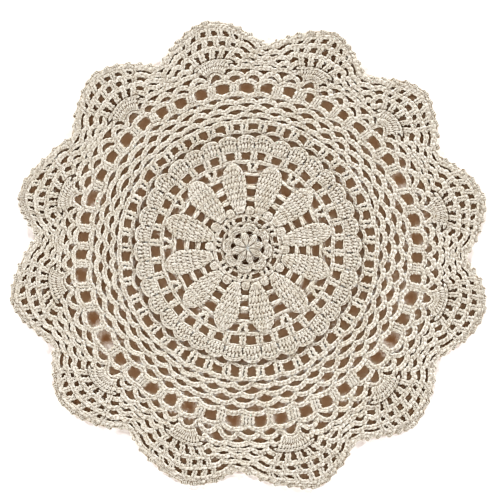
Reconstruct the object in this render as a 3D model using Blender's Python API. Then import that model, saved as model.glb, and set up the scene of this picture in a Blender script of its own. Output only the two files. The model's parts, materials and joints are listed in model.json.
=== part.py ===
"""A round crocheted cotton doily, lying flat.

The mat is one piece of openwork: a raised rose in the middle, a ring of leaves, rounds of net, a ring of
fans and a scalloped picot edging. It is one flat sheet here, with its larger gaps cut through and its rose,
leaves, shells, fans and edging raised on the top.

Blender's units are metres, +Z up. The origin is on the table, under the middle of the rose. The tables below
are in millimetres. A place on the mat is given by its turn, counted in sectors from the first leaf's axis,
and by its radius on an even mat. spot() turns that into the real, slightly uneven place.
"""

import math
from collections import namedtuple

import bmesh
import bpy
from mathutils import Vector
from mathutils.geometry import delaunay_2d_cdt

MM = 0.001

# Driving dimensions, in millimetres
TIP_RADIUS = 152.9  # the rose's centre to a scallop's tip, on an even mat
VALLEY_RADIUS = 136.0  # and to the valley between two scallops
TIP_ROUNDNESS = 0.65  # of a scallop: 0 is a straight-sided point, 1 a full arch
NET_THICKNESS = 2.0  # chains and posts of the plain net
EDGE_CREST = 2.7  # top of the picot edging
PICOT_DEPTH = 1.0  # how far a picot stands out from the edge
EDGING_WIDTH = 3.0  # from the edge in to the edging's crest
PICOTS = 12  # on each scallop

# Radii where the unevenness changes: the leaves lie on their own axes, the fans on theirs
LEAF_END = 54.0
FAN_MIDDLE = 120.0

# Each sector carries a leaf, a fan and a scallop. Angles are in degrees, counted from +X towards +Y.
Sector = namedtuple("Sector", "leaf_deg fan_deg tip_deg tip_radius valley_deg valley_radius")
SECTORS = (
    Sector(11.7, 10.5, 12.0, 154.6, 26.5, 135.3),
    Sector(41.5, 41.5, 41.0, 150.6, 56.0, 132.4),
    Sector(71.7, 68.8, 67.5, 148.3, 84.0, 130.2),
    Sector(101.0, 100.6, 100.5, 147.2, 116.0, 128.9),
    Sector(131.2, 131.2, 131.0, 148.6, 147.0, 132.4),
    Sector(162.0, 164.1, 167.0, 149.6, 177.0, 134.0),
    Sector(192.4, 190.2, 192.5, 154.4, 207.0, 138.6),
    Sector(222.3, 222.7, 220.0, 154.8, 237.0, 138.6),
    Sector(252.3, 251.0, 255.0, 155.8, 268.5, 141.6),
    Sector(282.5, 283.4, 286.0, 158.4, 301.5, 140.8),
    Sector(313.0, 314.4, 313.5, 155.3, 329.0, 140.0),
    Sector(343.0, 344.7, 345.5, 157.2, 357.5, 139.6),
)
COUNT = len(SECTORS)

# Gaps in each sector. first is the turn of the first one, width runs along the round and height outwards.
# taper is the outer side's width over the inner side's.
Gaps = namedtuple("Gaps", "per_sector first radius width height corners taper")
GAPS = {
    "at the leaves' feet": Gaps(1, 0.5, 28.4, 6.6, 5.4, 4, 0.6),
    "at the leaves' middles": Gaps(1, 0.5, 35.6, 6.0, 5.0, 4, 0.9),
    "at the leaves' shoulders": Gaps(1, 0.5, 43.0, 6.6, 5.0, 4, 1.0),
    "square mesh": Gaps(3, 0.0, 58.0, 6.6, 6.2, 4, 1.0),
    "first net round": Gaps(4, 0.0, 77.8, 7.6, 5.6, 6, 1.0),
    "second net round": Gaps(4, 0.125, 86.2, 9.0, 6.8, 6, 1.0),
    "third net round": Gaps(4, 0.0, 94.8, 10.0, 6.8, 6, 1.0),
    "loops under the fans": Gaps(4, 0.125, 104.6, 10.8, 7.0, 6, 1.0),
    "one side of the fans": Gaps(1, 0.2, 136.6, 5.6, 5.0, 6, 1.0),
    "other side of the fans": Gaps(1, -0.2, 136.6, 5.6, 5.0, 6, 1.0),
    "over the fans": Gaps(1, 0.0, 141.4, 5.0, 6.4, 6, 1.0),
}

# Rings of raised points, crest and trough by turns, with their heights above the table
Ridge = namedtuple("Ridge", "radius crests first crest trough")
RIDGES = {
    "inner petals": Ridge(5.6, 8, 0.0, 3.0, 2.2),
    "holes between the petals": Ridge(9.2, 8, 0.75, 1.6, 2.2),
    "outer petals": Ridge(13.2, 8, 0.0, 3.0, 2.6),
    "outer petals' rim": Ridge(15.8, 8, 0.0, 2.3, 1.9),
    "holes round the rose": Ridge(18.8, 12, 0.0, 2.1, 1.5),
    "puffs": Ridge(23.0, 12, 0.5, 2.9, 1.8),
    "shells": Ridge(66.4, 36, 0.0, 2.9, 1.9),
    "chain arcs": Ridge(72.6, 36, 0.0, 2.5, 2.1),
    "arches under the fans": Ridge(111.2, 48, 0.125, 2.5, 2.0),
}
ROSE_HEART = 2.7

# A leaf's rows of stitches, from its foot outwards: each has a low line at its start and a crest in its middle
LeafRow = namedtuple("LeafRow", "start crest_radius half_width")
LEAF_ROWS = (
    LeafRow(24.6, 27.6, 2.4),
    LeafRow(31.0, 34.4, 5.2),
    LeafRow(38.0, 41.4, 6.8),
    LeafRow(45.6, 49.0, 7.0),
)
LEAF_ACROSS = ((-1.0, 2.5), (-0.33, 3.0), (0.33, 3.0), (1.0, 2.5))  # share of the half width, height
LEAF_LOW = 2.3

# A fan's ribs stand on one stitch and spread. Each row of points across it has crests with troughs between.
FanRow = namedtuple("FanRow", "radius half_width ribs crest trough")
FAN_ROWS = (
    FanRow(115.6, 5.0, 2, 2.8, 2.4),
    FanRow(121.6, 13.5, 7, 3.0, 2.5),
    FanRow(129.6, 15.0, 5, 2.7, 2.0),
)

COTTON = (0.71, 0.66, 0.57)  # ecru, linear
COTTON_ROUGHNESS = 0.9


def mix(low, high, share):
    return low + (high - low) * share


def smooth(value, low, high):
    """0 below low, 1 above high and an even curve between."""
    share = min(max((value - low) / (high - low), 0.0), 1.0)
    return share * share * (3 - 2 * share)


def between(turn, on_axes, in_valleys):
    """A value at a turn, from its values on the sectors' axes and in the valleys that follow them."""
    sector = math.floor(turn)
    share = 2 * (turn - sector)
    valley = in_valleys[sector % COUNT]
    if share < 1:
        return mix(on_axes[sector % COUNT], valley, share)
    return mix(valley, on_axes[(sector + 1) % COUNT], share - 1)


def angle_at(turn, on_axes, in_valleys):
    """Degrees at a turn, as the shift from an even mat's angle, so that no lap has to be counted."""

    def shift(degrees, at_turn):
        return (degrees - 360 / COUNT * at_turn + 180) % 360 - 180

    axes = [shift(degrees, sector) for sector, degrees in enumerate(on_axes)]
    valleys = [shift(degrees, sector + 0.5) for sector, degrees in enumerate(in_valleys)]
    return 360 / COUNT * turn + between(turn, axes, valleys)


def halfway(degrees):
    """The angles halfway from each one to the next."""
    following = degrees[1:] + degrees[:1]
    return [here + (there - here) % 360 / 2 for here, there in zip(degrees, following)]


LEAF_ANGLES = [sector.leaf_deg for sector in SECTORS]
FAN_ANGLES = [sector.fan_deg for sector in SECTORS]
TIP_ANGLES = [sector.tip_deg for sector in SECTORS]
VALLEY_ANGLES = [sector.valley_deg for sector in SECTORS]
TIP_SWELLS = [sector.tip_radius - TIP_RADIUS for sector in SECTORS]
VALLEY_SWELLS = [sector.valley_radius - VALLEY_RADIUS for sector in SECTORS]


def spot(turn, radius):
    """The real x and y, in millimetres, of a place on the uneven mat."""
    leaf = angle_at(turn, LEAF_ANGLES, halfway(LEAF_ANGLES))
    fan = angle_at(turn, FAN_ANGLES, halfway(FAN_ANGLES))
    rim = angle_at(turn, TIP_ANGLES, VALLEY_ANGLES)
    angle = mix(leaf, fan, smooth(radius, LEAF_END, FAN_MIDDLE))
    angle = math.radians(mix(angle, rim, smooth(radius, FAN_MIDDLE, TIP_RADIUS)))
    swell = between(turn, TIP_SWELLS, VALLEY_SWELLS)
    radius += swell * smooth(radius, LEAF_END, VALLEY_RADIUS)
    return radius * math.cos(angle), radius * math.sin(angle)


def turns(length, radius):
    """How many sectors a length along the round takes up."""
    return length * COUNT / (2 * math.pi * radius)


def edge_radius(turn):
    """The scalloped edge of an even mat: round at each tip and sharp in each valley."""
    from_valley = 1 - 2 * abs(turn - round(turn))
    arch = mix(from_valley, math.sin(from_valley * math.pi / 2), TIP_ROUNDNESS)
    return mix(VALLEY_RADIUS, TIP_RADIUS, arch)


def edge_loop():
    """The edge, with one point on each picot and one between it and the next."""
    steps = 2 * PICOTS * COUNT
    loop = []
    for step in range(steps):
        turn = step / (2 * PICOTS)
        loop.append(spot(turn, edge_radius(turn) - PICOT_DEPTH * (step % 2)))
    return loop


def gap_loops():
    """The outline of every gap, anticlockwise."""
    loops = []
    for gaps in GAPS.values():
        stretch = math.sqrt(2) if gaps.corners == 4 else 1.0
        for number in range(gaps.per_sector * COUNT):
            turn = gaps.first + number / gaps.per_sector
            loop = []
            for corner in range(gaps.corners):
                around = math.tau * (corner + (0.5 if gaps.corners == 4 else 0.0)) / gaps.corners
                along, out = stretch * math.cos(around), stretch * math.sin(around)
                width = gaps.width * mix(1.0, gaps.taper, (out + 1) / 2)
                radius = gaps.radius + out * gaps.height / 2
                loop.append(spot(turn + along * turns(width / 2, gaps.radius), radius))
            # From along to out is a clockwise turn
            loops.append(loop[::-1])
    return loops


def raised_points():
    """x, y and height, in millimetres, of the points inside the sheet's top face."""
    points = [(0.0, 0.0, ROSE_HEART)]
    for ridge in RIDGES.values():
        for step in range(2 * ridge.crests):
            turn = (ridge.first + step / 2) * COUNT / ridge.crests
            points.append((*spot(turn, ridge.radius), ridge.trough if step % 2 else ridge.crest))
    for leaf in range(COUNT):
        for row in LEAF_ROWS:
            for share, height in LEAF_ACROSS:
                turn = leaf + turns(share * row.half_width, row.crest_radius)
                points.append((*spot(turn, row.crest_radius), height))
            if row is not LEAF_ROWS[0]:
                for side in (-0.6, 0.6):
                    turn = leaf + turns(side * row.half_width, row.start)
                    points.append((*spot(turn, row.start), LEAF_LOW))
    for fan in range(COUNT):
        for row in FAN_ROWS:
            last = 2 * row.ribs - 2
            for step in range(last + 1):
                across = row.half_width * (2 * step / last - 1)
                turn = fan + turns(across, row.radius)
                points.append((*spot(turn, row.radius), row.trough if step % 2 else row.crest))
    for step in range(PICOTS * COUNT):
        turn = step / PICOTS
        points.append((*spot(turn, edge_radius(turn) - EDGING_WIDTH), EDGE_CREST))
    return points


def triangles(loops, inner):
    """Triangles of the flat region inside the first loop and outside the others, through the inner points."""
    flat = [Vector(point) for loop in loops for point in loop] + [Vector(point[:2]) for point in inner]
    faces, start = [], 0
    for loop in loops:
        faces.append(list(range(start, start + len(loop))))
        start += len(loop)
    inside_constraints = 1
    found = delaunay_2d_cdt(flat, [], faces, inside_constraints, 1e-6)
    if len(found[0]) != len(flat):
        raise ValueError("two gaps touch, or a raised point lies on another")
    # A triangle that lies in a gap belongs to the gap's loop as well as to the edge's
    return [face for face, owners in zip(found[2], found[5]) if len(owners) == 1]


def doily_mesh():
    loops = [edge_loop(), *gap_loops()]
    raised = raised_points()
    rim = [point for loop in loops for point in loop]
    work = bmesh.new()
    top = [work.verts.new((x * MM, y * MM, NET_THICKNESS * MM)) for x, y in rim]
    top += [work.verts.new((x * MM, y * MM, height * MM)) for x, y, height in raised]
    bottom = [work.verts.new((x * MM, y * MM, 0.0)) for x, y in rim]
    for face in triangles(loops, raised):
        work.faces.new([top[index] for index in face])
    for face in triangles(loops, []):
        work.faces.new([bottom[index] for index in reversed(face)])
    start = 0
    for loop in loops:
        for step in range(len(loop)):
            here, there = start + step, start + (step + 1) % len(loop)
            work.faces.new((top[here], top[there], bottom[there], bottom[here]))
        start += len(loop)
    bmesh.ops.recalc_face_normals(work, faces=work.faces)
    mesh = bpy.data.meshes.new("doily")
    work.to_mesh(mesh)
    work.free()
    print("doily:", len(loops) - 1, "gaps,", len(raised), "raised points,", len(mesh.polygons), "faces")
    return mesh


def cotton():
    material = bpy.data.materials.new("ecru_cotton")
    material.use_nodes = True
    shader = material.node_tree.nodes["Principled BSDF"]
    shader.inputs["Base Color"].default_value = (*COTTON, 1.0)
    shader.inputs["Roughness"].default_value = COTTON_ROUGHNESS
    shader.inputs["Metallic"].default_value = 0.0
    material.diffuse_color = (*COTTON, 1.0)
    return material


def main():
    for old in list(bpy.data.objects):
        bpy.data.objects.remove(old, do_unlink=True)
    pieces = bpy.data.collections.new("lace_doily")
    bpy.context.scene.collection.children.link(pieces)
    doily = bpy.data.objects.new("doily", doily_mesh())
    doily.data.materials.append(cotton())
    pieces.objects.link(doily)


main()
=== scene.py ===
# %% [markdown]
# # A crocheted cotton doily, stitch by stitch
#
# The real mat is one long cotton thread, hooked into loops: chains that bridge gaps, and taller stitches
# that stand on them. From a step away it is a rose, a ring of leaves, a net, twelve fans and a picot edging.
# Up close it is all yarn. A flat sheet with a pattern on it would be quicker to make, but its strands would
# catch no light and its holes no shade. So this script makes yarn: a few small stitches are modelled once,
# the mat's chart says where each chain runs and where each stitch stands, and Geometry Nodes lays them there.
#
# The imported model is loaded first. It is the frame: the same flat mat as one plain solid, which gives the
# size and the place of everything below.

import json
import math
import random
from collections import namedtuple

import bmesh
import bpy
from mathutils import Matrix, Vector, noise

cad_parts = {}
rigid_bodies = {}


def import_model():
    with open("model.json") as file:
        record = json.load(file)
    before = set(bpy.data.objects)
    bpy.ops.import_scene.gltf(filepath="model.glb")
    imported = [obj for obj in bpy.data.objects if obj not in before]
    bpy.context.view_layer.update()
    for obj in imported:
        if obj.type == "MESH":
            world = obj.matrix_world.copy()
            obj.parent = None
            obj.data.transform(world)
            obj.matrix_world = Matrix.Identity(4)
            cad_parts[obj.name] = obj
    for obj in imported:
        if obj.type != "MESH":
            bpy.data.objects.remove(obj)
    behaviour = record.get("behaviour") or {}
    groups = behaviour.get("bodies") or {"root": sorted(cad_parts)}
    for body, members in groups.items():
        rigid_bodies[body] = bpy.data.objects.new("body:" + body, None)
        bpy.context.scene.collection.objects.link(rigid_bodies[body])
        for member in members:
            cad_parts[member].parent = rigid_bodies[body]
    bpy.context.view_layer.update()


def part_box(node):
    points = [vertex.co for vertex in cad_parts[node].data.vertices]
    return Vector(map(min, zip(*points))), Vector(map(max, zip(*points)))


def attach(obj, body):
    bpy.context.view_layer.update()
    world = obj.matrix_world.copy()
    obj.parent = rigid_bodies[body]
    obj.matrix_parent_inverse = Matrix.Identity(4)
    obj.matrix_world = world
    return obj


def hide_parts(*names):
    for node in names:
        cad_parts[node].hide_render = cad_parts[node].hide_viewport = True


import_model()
low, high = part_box("doily")
print("frame:", [round(1000 * side, 1) for side in high - low], "mm")

# %% [markdown]
# ## Sizes
#
# The chart is in millimetres. The real thread is about a millimetre thick, which sets everything else: one
# chain stitch moves the hook on by two to three millimetres. A strand is drawn fuller here than the thread
# is, because it also stands for the loops behind it, which are too fine to be worked one by one.

# %% Thread and stitch sizes, in millimetres
MM = 0.001
LINK_YARN = 0.864  # radius of a chain stitch's strand
LINK_SPACING = 2.8  # one chain stitch to the next
STEM = 2.7  # a short stitch that carries an arch of chain
CHAIN_HEIGHT = 1.6  # middle of a chain above the table
POST_HEIGHT = 1.7
RAISED = 2.1  # shells and fans are thicker than the net
chance = random.Random(12)
print(round(100 / LINK_SPACING), "chain stitches make 100 mm")

# %% [markdown]
# ## The uneven mat
#
# A hand-made mat is never quite even, and this one was laid down by hand as well. Each of its twelve sectors
# carries a leaf, a fan and a scallop, and each of those points a little off its even angle. The same table
# shapes the plain solid. A place is given by its turn, counted in sectors, and its radius on an even mat.
# The finished mesh could be bent instead, but that would also bend and squash the single stitches.

# %% The twelve sectors
TIP_RADIUS = 152.9
VALLEY_RADIUS = 136.0
LEAF_END = 54.0
FAN_MIDDLE = 120.0

Sector = namedtuple("Sector", "leaf_deg fan_deg tip_deg tip_radius valley_deg valley_radius")
SECTORS = (
    Sector(11.7, 10.5, 12.0, 154.6, 26.5, 135.3),
    Sector(41.5, 41.5, 41.0, 150.6, 56.0, 132.4),
    Sector(71.7, 68.8, 67.5, 148.3, 84.0, 130.2),
    Sector(101.0, 100.6, 100.5, 147.2, 116.0, 128.9),
    Sector(131.2, 131.2, 131.0, 148.6, 147.0, 132.4),
    Sector(162.0, 164.1, 167.0, 149.6, 177.0, 134.0),
    Sector(192.4, 190.2, 192.5, 154.4, 207.0, 138.6),
    Sector(222.3, 222.7, 220.0, 154.8, 237.0, 138.6),
    Sector(252.3, 251.0, 255.0, 155.8, 268.5, 141.6),
    Sector(282.5, 283.4, 286.0, 158.4, 301.5, 140.8),
    Sector(313.0, 314.4, 313.5, 155.3, 329.0, 140.0),
    Sector(343.0, 344.7, 345.5, 157.2, 357.5, 139.6),
)
COUNT = len(SECTORS)


def shifts(degrees, first_turn):
    """How far each angle lies from the even one, so that no lap has to be counted."""
    even = [360 / COUNT * (first_turn + sector) for sector in range(COUNT)]
    return [(angle - at + 180) % 360 - 180 for angle, at in zip(degrees, even)]


def halfway(values):
    following = values[1:] + values[:1]
    return [(here + there) / 2 for here, there in zip(values, following)]


LEAF_SHIFTS = shifts([sector.leaf_deg for sector in SECTORS], 0.0)
FAN_SHIFTS = shifts([sector.fan_deg for sector in SECTORS], 0.0)
TIP_SHIFTS = shifts([sector.tip_deg for sector in SECTORS], 0.0)
VALLEY_SHIFTS = shifts([sector.valley_deg for sector in SECTORS], 0.5)
TIP_SWELLS = [sector.tip_radius - TIP_RADIUS for sector in SECTORS]
VALLEY_SWELLS = [sector.valley_radius - VALLEY_RADIUS for sector in SECTORS]
print("the tips point up to", round(max(map(abs, TIP_SHIFTS)), 1), "degrees off their even angles")

# %% [markdown]
# The chart's places are bent to the sectors by a smooth mix: the middle follows the leaves, the next rounds
# the fans, and the edge the tips and valleys.

# %% The way from the even chart to the uneven mat


def mix(low, high, share):
    return low + (high - low) * share


def smooth(value, low, high):
    """0 below low, 1 above high and an even curve between."""
    share = min(max((value - low) / (high - low), 0.0), 1.0)
    return share * share * (3 - 2 * share)


def between(turn, on_axes, in_valleys):
    """A value at a turn, from its values on the sectors' axes and in the valleys that follow them."""
    sector = math.floor(turn)
    share = 2 * (turn - sector)
    valley = in_valleys[sector % COUNT]
    if share < 1:
        return mix(on_axes[sector % COUNT], valley, share)
    return mix(valley, on_axes[(sector + 1) % COUNT], share - 1)


def spot(turn, radius):
    """The real x and y, in millimetres, of a place on the uneven mat."""
    leaf = between(turn, LEAF_SHIFTS, halfway(LEAF_SHIFTS))
    fan = between(turn, FAN_SHIFTS, halfway(FAN_SHIFTS))
    rim = between(turn, TIP_SHIFTS, VALLEY_SHIFTS)
    shift = mix(leaf, fan, smooth(radius, LEAF_END, FAN_MIDDLE))
    shift = mix(shift, rim, smooth(radius, FAN_MIDDLE, TIP_RADIUS))
    angle = math.radians(360 / COUNT * turn + shift)
    swell = between(turn, TIP_SWELLS, VALLEY_SWELLS)
    radius += swell * smooth(radius, LEAF_END, VALLEY_RADIUS)
    return radius * math.cos(angle), radius * math.sin(angle)


def turns(length, radius):
    """How many sectors a length along the round takes up."""
    return length * COUNT / (2 * math.pi * radius)


print("the first tip lies at", [round(size, 1) for size in spot(0.0, TIP_RADIUS)], "mm")

# %% [markdown]
# The edge swings out and in twelve times, in round tips and rather sharp valleys. A sine would be too even,
# so the line is a mix of a straight slope and a sine, softened a little in the valley.

# %% The scallops
TIP_ROUNDNESS = 0.65  # 0 is a straight slope from valley to tip and 1 is a sine
VALLEY_SOFT = 0.05


def scallop(turn, tip, valley):
    """A radius that swings from a scallop's tip to the soft valleys beside it."""
    from_valley = 1 - 2 * abs(turn - round(turn))
    whole = math.hypot(1, VALLEY_SOFT) - VALLEY_SOFT
    from_valley = (math.hypot(from_valley, VALLEY_SOFT) - VALLEY_SOFT) / whole
    arch = mix(from_valley, math.sin(from_valley * math.pi / 2), TIP_ROUNDNESS)
    return mix(valley, tip, arch)


print("a quarter of the way down, the edge is at", round(scallop(0.125, TIP_RADIUS, VALLEY_RADIUS), 1), "mm")

# %% [markdown]
# Every place then gets the small drift of hand work. A random push for each stitch would tear the rounds
# apart, so it is a slow noise that pushes neighbours the same way, and what joins stays joined.

# %% A place on the table
DRIFT = 0.55  # millimetres
DRIFT_REACH = 14.0  # over which it changes
DRIFT_STARTS = (8.0, 40.0)  # the middle keeps still, and past the second radius the drift is whole
DRIFT_LAYER = 3.0  # which layer of the noise is used
noise.seed_set(3)  # without a seed of its own, this noise is another one in every run


def place(turn, radius, height):
    """The chart's place as a point in millimetres."""
    x, y = spot(turn, radius)
    push = noise.noise_vector(Vector((x, y, DRIFT_LAYER)) / DRIFT_REACH) * DRIFT * 2
    calm = smooth(radius, *DRIFT_STARTS)
    return Vector((x + push.x * calm, y + push.y * calm, height))


print("with its drift it lies at", [round(size, 1) for size in place(0.0, TIP_RADIUS, 0.0)], "mm")

# %% [markdown]
# ## Yarn
#
# A strand of yarn is a round tube that follows a line of points. A curve with a bevel could be that, but its
# map couldn't be chosen. So one short function sweeps a small ring of points along the line, closed or with
# capped ends. It keeps the length along the yarn and the way round it as a UV map, because the material
# draws the twisted plies there. Each stitch is laid thousands of times, so a strand has only five sides and
# as few rings as its bends need.

# %% Sweep a strand of yarn
SIDES = 5
ANY_SIDE = Vector((0.3, 0.1, 1.0))  # a direction that no strand runs in
Strand = namedtuple("Strand", "points radius closed")


def ring_frames(points, closed):
    """For each point, the direction of the strand and two directions across it that don't twist."""
    count = len(points)
    across = None
    for index, point in enumerate(points):
        before = points[index - 1] if index or closed else point
        after = points[(index + 1) % count] if index < count - 1 or closed else point
        along = (after - before).normalized()
        if across is None:
            across = along.cross(ANY_SIDE).normalized()
        across = (across - along * across.dot(along)).normalized()
        yield point, across, along.cross(across)


def add_strand(work, uv_layer, strand):
    rings = []
    for index, (point, across, up) in enumerate(ring_frames(strand.points, strand.closed)):
        radius = strand.radius[index] if isinstance(strand.radius, list) else strand.radius
        ring = []
        for side in range(SIDES):
            angle = math.tau * side / SIDES
            offset = across * math.cos(angle) + up * math.sin(angle)
            ring.append(work.verts.new((point + offset * radius) * MM))
        rings.append(ring)
    lengths = [0.0]
    for index in range(len(rings) if strand.closed else len(rings) - 1):
        step = strand.points[(index + 1) % len(rings)] - strand.points[index]
        lengths.append(lengths[-1] + step.length)
    for index in range(len(lengths) - 1):
        here, there = rings[index], rings[(index + 1) % len(rings)]
        for side in range(SIDES):
            beside = (side + 1) % SIDES
            face = work.faces.new((here[side], here[beside], there[beside], there[side]))
            corners = ((index, side), (index, side + 1), (index + 1, side + 1), (index + 1, side))
            for loop, (at, around) in zip(face.loops, corners):
                loop[uv_layer].uv = (lengths[at], around / SIDES)
    if not strand.closed:
        work.faces.new(rings[0][::-1])
        work.faces.new(rings[-1])


def yarn_object(name, strands):
    """An object with a mesh of these strands, sized in millimetres."""
    work = bmesh.new()
    uv_layer = work.loops.layers.uv.new("yarn")
    for strand in strands:
        add_strand(work, uv_layer, strand)
    bmesh.ops.recalc_face_normals(work, faces=work.faces)
    mesh = bpy.data.meshes.new(name)
    work.to_mesh(mesh)
    work.free()
    made = bpy.data.objects.new(name, mesh)
    print(name, "-", len(strands), "strands,", len(mesh.polygons), "faces")
    return made


print("a strand has", SIDES, "sides")

# %% [markdown]
# ## The chain stitch
#
# A chain stitch is a loop of yarn pulled through the loop before it. Seen from above it is a small V, and a
# row of them is a braid. One long strand could be threaded through a whole round, but it would have to be
# worked out for every bend. One closed loop does the same: it is narrow where it starts under its neighbour
# and wide where the next one comes up through it, and repeated at the right spacing it gives that braid.

# %% Model one chain stitch
LINK_HALF = (  # x, y and z of half the loop, from its narrow end to its wide end
    (-1.85, 0.00, -0.30),
    (-1.15, 0.36, 0.06),
    (0.10, 0.58, 0.26),
    (1.25, 0.46, 0.08),
    (1.75, 0.00, -0.30),
)
other_half = [(x, -y, z) for x, y, z in LINK_HALF[-2:0:-1]]
link_points = [Vector(point) for point in (*LINK_HALF, *other_half)]
link = yarn_object("chain_stitch", [Strand(link_points, LINK_YARN, True)])

# %% [markdown]
# ## The taller stitches
#
# A treble, the common tall stitch, is two strands with a slight twist and two wraps of yarn across them. A
# close one has nearly a full turn of twist: it stands side by side with others in leaves, shells and fans,
# and gives them their speckle. A short one has no wraps. The real ones have more and finer strands, which
# would be lost at this size, so these are drawn coarser. Each lies along X, from 0 to a reach of six
# millimetres, and is stretched to the length that its place in the chart asks for.

# %% Model the twisted stitches
REACH = 6.0
FIRST_ANGLE = 0.3


def twisted(side, spread, turns_of_twist, radius, rings):
    """One of two strands that twist round each other, from the foot to the head."""
    points = []
    for ring in range(rings):
        share = ring / (rings - 1)
        angle = math.pi * (side + 2 * turns_of_twist * share) + FIRST_ANGLE
        out = spread * (0.75 + 0.25 * math.sin(share * math.pi))
        points.append(Vector((REACH * share, out * math.cos(angle), out * math.sin(angle))))
    return Strand(points, radius, False)


def wrap(at, slant, across, up, radius):
    """A turn of yarn over a stitch, from one side to the other."""
    corners = ((-1.0, -0.1), (-0.8, up), (0.8, up), (1.0, -0.1))
    points = [Vector((at + slant * side, across * side, z)) for side, z in corners]
    return Strand(points, [0.6 * radius, radius, radius, 0.6 * radius], False)


treble = [twisted(side, spread=0.5, turns_of_twist=0.3, radius=0.7, rings=5) for side in (0, 1)]
treble += [wrap(at, slant=0.6, across=0.95, up=0.6, radius=0.42) for at in (2.1, 4.2)]
close = [twisted(side, spread=0.49, turns_of_twist=0.9, radius=0.72, rings=8) for side in (0, 1)]
close += [wrap(at, slant=0.4, across=1.15, up=0.5, radius=0.42) for at in (1.5, 4.5)]
short = [twisted(side, spread=0.54, turns_of_twist=0.12, radius=0.7, rings=4) for side in (0, 1)]
print("strands of a treble, a close and a short stitch:", len(treble), len(close), len(short))

# %% [markdown]
# A puff is a bundle of strands that start and end together and swell between. A picot is a bead on the
# edging: a few chains that close on themselves, too small to be seen as loops, so it is a short bundle too.
# A petal of the rose is a bundle that starts at one point, has its highest back near the middle of the rose
# and closes in at its round tip. Solid bumps would be lighter, but only strands give the grooves.

# %% Model the puff, the picot and the petal
PETAL_REACH = 9.0  # how long it is once it is stretched
PETAL_HALF = 2.6
PETAL_WIDEST = 0.6  # share of its reach
PETAL_ROUNDING = 0.42  # share of its reach over which the tip closes in


def bundle(strands, width, height, widest, tip, radius, rings):
    """Strands side by side over a rounded back, widest at that share of the reach and tip wide at the end."""
    found = []
    for number in range(strands):
        across = 2 * number / (strands - 1) - 1
        points = []
        for ring in range(rings):
            share = ring / (rings - 1)
            if share < widest:
                swell = math.sin(share / widest * math.pi / 2)
            else:
                swell = mix(math.cos((share - widest) / (1 - widest) * math.pi / 2), 1.0, tip)
            y = across * swell * (width / 2 - radius)
            z = (height - radius) * swell * math.sqrt(1 - 0.8 * across * across)
            points.append(Vector((REACH * share, y, z)))
        found.append(Strand(points, radius, False))
    return found


def petal_strands(strands, rings):
    """Strands from one point, side by side over a rounded back, closed in at the tip."""
    found = []
    for number in range(strands):
        across = 2 * number / (strands - 1) - 1
        points, radii = [], []
        for ring in range(rings):
            share = ring / (rings - 1)
            out = PETAL_REACH * share
            radius = min(0.06 + 0.16 * out, 0.5)  # thin where all the petals meet
            open_side = 0.46 * out
            if share > PETAL_WIDEST:
                past = (share - PETAL_WIDEST) / PETAL_ROUNDING
                open_side = PETAL_HALF * math.sqrt(max(1 - past**2, 0.0))
            back = 1.6 - share + 0.5 * math.sin(math.pi * share)
            y = across * max(open_side - radius, 0.0)
            points.append(Vector((REACH * share, y, back * math.sqrt(1 - 0.6 * across * across))))
            radii.append(radius)
        found.append(Strand(points, radii, False))
    return found


puff = bundle(6, width=6.6, height=1.9, widest=0.52, tip=0.3, radius=0.7, rings=8)
petal = petal_strands(strands=5, rings=9)
bead = bundle(5, width=6.2, height=1.5, widest=0.55, tip=0.6, radius=0.62, rings=5)
print("strands of a puff, a petal and a picot:", len(puff), len(petal), len(bead))

# %% [markdown]
# The node tree picks a stitch by its number in a collection. A collection is read in the order of its names,
# so each name starts with its number.

# %% Collect the stitches
KINDS = {"treble": treble, "close": close, "short": short, "puff": puff, "petal": petal, "picot": bead}
shapes = bpy.data.collections.new("stitch_shapes")
for number, (kind, strands) in enumerate(KINDS.items()):
    shapes.objects.link(yarn_object(f"{number}_{kind}", strands))
KIND_NUMBERS = {kind: number for number, kind in enumerate(KINDS)}

# %% [markdown]
# ## Colour and finish
#
# Colours are written as sRGB hex, as a painter would pick them, and turned to linear by one function. A
# second function adds a node with its settings, so that a material reads as a list of what it does.

# %% Node and colour helpers


def linear(hex_colour):
    """An sRGB hex colour as linear RGBA."""
    channels = [int(hex_colour[start : start + 2], 16) / 255 for start in (1, 3, 5)]
    curved = [c / 12.92 if c <= 0.04045 else ((c + 0.055) / 1.055) ** 2.4 for c in channels]
    return (*curved, 1.0)


def node(tree, kind, inputs=None, **settings):
    """Adds a node with its settings. inputs gives a value or another node's output for a socket's name."""
    made = tree.nodes.new(kind)
    for name, value in settings.items():
        setattr(made, name, value)
    for key, value in (inputs or {}).items():
        named = [s for s in made.inputs if s.enabled and s.name == key]
        socket = made.inputs[key] if isinstance(key, int) else named[0]
        if isinstance(value, bpy.types.NodeSocket):
            tree.links.new(value, socket)
        else:
            socket.default_value = value
    return made


def output(made, name):
    """The node's output of that name among those in use."""
    return next(s for s in made.outputs if s.enabled and s.name == name)


def maths(tree, operation, *values):
    return node(tree, "ShaderNodeMath", dict(enumerate(values)), operation=operation).outputs[0]


print("#808080 is", round(linear("#808080")[0], 3), "in linear light")
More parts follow.
